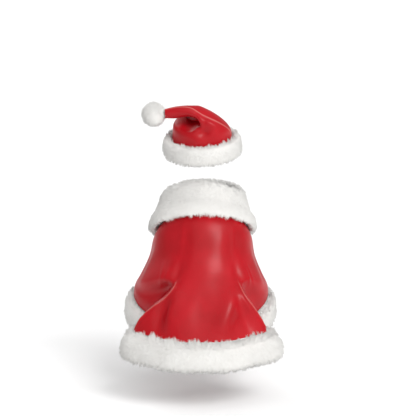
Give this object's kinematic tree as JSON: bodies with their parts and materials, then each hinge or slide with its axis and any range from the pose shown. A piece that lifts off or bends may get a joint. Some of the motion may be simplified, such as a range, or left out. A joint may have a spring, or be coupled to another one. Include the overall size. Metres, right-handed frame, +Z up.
{
  "type": "dog santa costume",
  "caption": "Hollow worn pet costume of red coated cloth: a short cape with a white fur collar and fur hem, and a cone hat that folds over, with a fur brim and a pompom.",
  "frame": {"origin": "middle of the cape's neck seam, where the neck holds the costume", "axes": "+Z up, +Y the way the costume faces when worn, +X its right side when worn"},
  "size_m": [0.2067, 0.2502, 0.3139],
  "materials": {
    "red_coated_cloth": "satin",
    "white_fur": "plush",
    "hook_and_loop_tape": "matte"
  },
  "bodies": {
    "root": {"cape_panel": "red_coated_cloth", "crown_back": "red_coated_cloth", "crown_front": "red_coated_cloth", "closure_tab": "red_coated_cloth", "collar": "white_fur", "hem_band": "white_fur", "brim": "white_fur", "pompom": "white_fur", "closure_hook": "hook_and_loop_tape", "closure_loop": "hook_and_loop_tape"}
  },
  "joints": []
}
